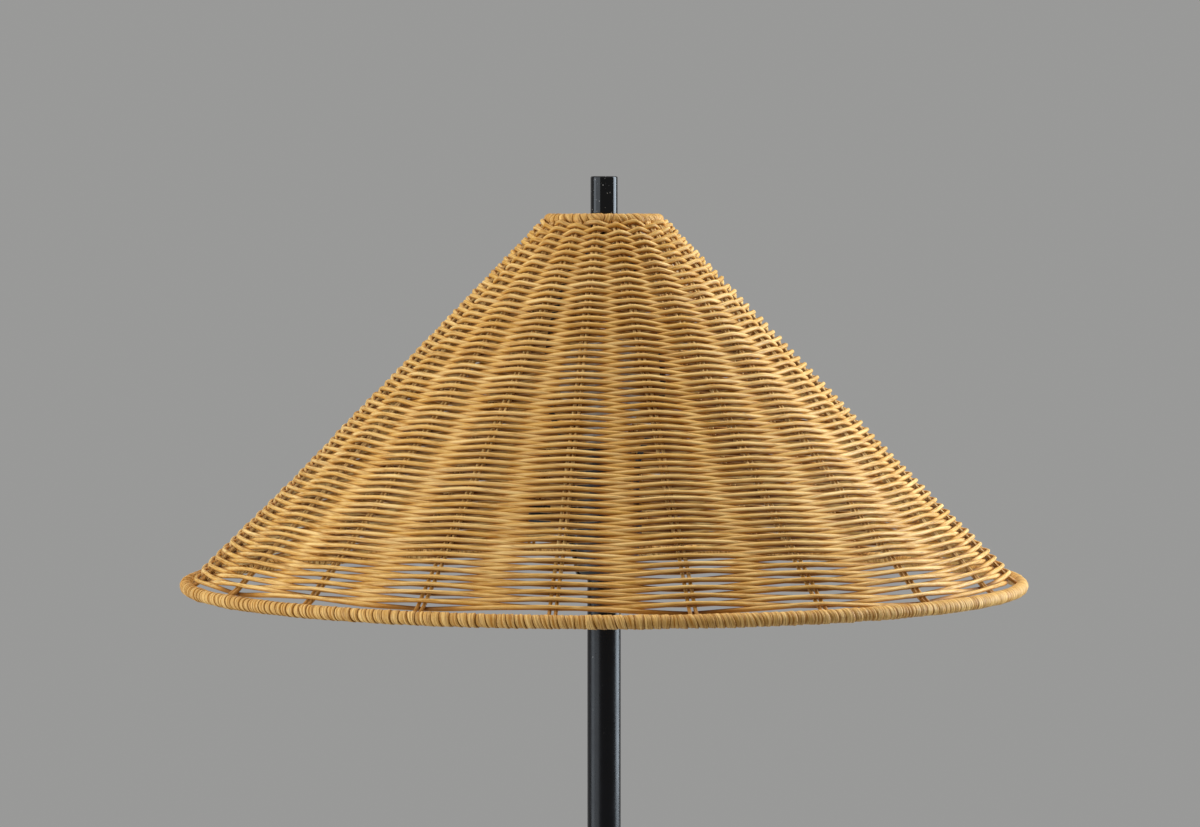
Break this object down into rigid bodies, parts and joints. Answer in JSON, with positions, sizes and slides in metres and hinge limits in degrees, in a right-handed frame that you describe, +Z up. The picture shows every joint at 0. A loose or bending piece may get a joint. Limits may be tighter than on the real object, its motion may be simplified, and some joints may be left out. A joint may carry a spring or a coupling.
{
  "type": "floor lamp",
  "caption": "Floor lamp with a wide cone shade of woven rattan hung on a wire harp, a straight black pole, a round weighted base and a short cylinder finial.",
  "frame": {"origin": "centre of the base's underside, on the floor", "axes": "+Z up along the pole, -Y towards the front, -X is the side that the switch knob points to"},
  "size_m": [0.5602, 0.5602, 1.5197],
  "materials": {
    "felt": "dense black wool felt",
    "cast_iron": "rough casting",
    "black_paint": "satin black powder coat",
    "finial_paint": "gloss black enamel",
    "harp_paint": "semi-gloss black dip coat",
    "zinc_steel": "bright zinc plate",
    "fitter_steel": "tan lacquer over steel wire",
    "brass": "turned brass",
    "aluminium": "rolled, satin",
    "black_plastic": "moulded phenolic",
    "knob_plastic": "moulded, semi-gloss",
    "gland_rubber": "moulded, matte",
    "fibre_card": "fibre insulating card",
    "opal_glass": "opal white, smooth",
    "strand_cane": "peeled round rattan core, clear lacquer",
    "stake_cane": "round rattan core, darker",
    "binding_cane": "flat peel cane, fine grain"
  },
  "bodies": {
    "stand": {"base_felt_pad": "felt", "base_weight": "cast_iron", "base_cover": "black_paint", "base_washer": "zinc_steel", "base_nut": "zinc_steel", "base_nipple": "zinc_steel", "base_collar": "black_paint", "cord_gland": "gland_rubber", "pole_lower": "black_paint", "pole_middle": "black_paint", "pole_upper": "black_paint", "pole_coupler_lower": "zinc_steel", "pole_coupler_upper": "zinc_steel", "pole_foot_plug": "zinc_steel", "pole_top_plug": "black_paint", "socket_nipple": "zinc_steel", "socket_cap": "black_plastic", "socket_shell": "black_plastic", "socket_liner": "fibre_card", "socket_core": "black_plastic", "socket_screw_shell": "aluminium", "socket_contact": "brass", "harp_saddle": "harp_paint", "harp_frame": "harp_paint"},
    "switch": {"switch_knob": "knob_plastic"},
    "bulb": {"bulb_contact_tip": "brass", "bulb_screw_cap": "aluminium", "bulb_globe": "opal_glass"},
    "left_sleeve": {"harp_sleeve_left": "harp_paint"},
    "right_sleeve": {"harp_sleeve_right": "harp_paint"},
    "swivel": {"harp_stud": "brass"},
    "shade": {"shade_fitter": "fitter_steel", "shade_top_binding": "binding_cane", "shade_rim_ring": "fitter_steel", "shade_rim_binding": "binding_cane", "shade_weave": "strand_cane", "stake_pair_01": "stake_cane", "stake_pair_02": "stake_cane", "stake_pair_03": "stake_cane", "stake_pair_04": "stake_cane", "stake_pair_05": "stake_cane", "stake_pair_06": "stake_cane", "stake_pair_07": "stake_cane", "stake_pair_08": "stake_cane", "stake_pair_09": "stake_cane", "stake_pair_10": "stake_cane", "stake_pair_11": "stake_cane", "stake_pair_12": "stake_cane", "stake_pair_13": "stake_cane", "stake_pair_14": "stake_cane", "stake_pair_15": "stake_cane", "stake_pair_16": "stake_cane", "stake_pair_17": "stake_cane", "stake_pair_18": "stake_cane", "stake_pair_19": "stake_cane", "stake_pair_20": "stake_cane"},
    "finial": {"finial": "finial_paint", "finial_insert": "brass"}
  },
  "joints": [
    {"name": "shade_swivel", "type": "hinge", "parent": "stand", "child": "swivel", "pos_m": [0, 0, 1.4751], "axis": [0, 0, 1], "continuous": true},
    {"name": "shade_lift", "type": "slide", "parent": "swivel", "child": "shade", "axis": [0, 0, 1], "range_m": [0, 0.28]},
    {"name": "finial_turn", "type": "hinge", "parent": "shade", "child": "finial", "pos_m": [0, 0, 1.4802], "axis": [0, 0, 1], "continuous": true},
    {"name": "switch_turn", "type": "hinge", "parent": "stand", "child": "switch", "pos_m": [-0.036, 0, 1.2967], "axis": [-1, 0, 0], "continuous": true},
    {"name": "bulb_turn", "type": "hinge", "parent": "stand", "child": "bulb", "pos_m": [0, 0, 1.3064], "axis": [0, 0, 1], "continuous": true},
    {"name": "left_sleeve_slide", "type": "slide", "parent": "stand", "child": "left_sleeve", "axis": [0, 0, 1], "range_m": [0, 0.012]},
    {"name": "right_sleeve_slide", "type": "slide", "parent": "stand", "child": "right_sleeve", "axis": [0, 0, 1], "range_m": [0, 0.012]}
  ]
}
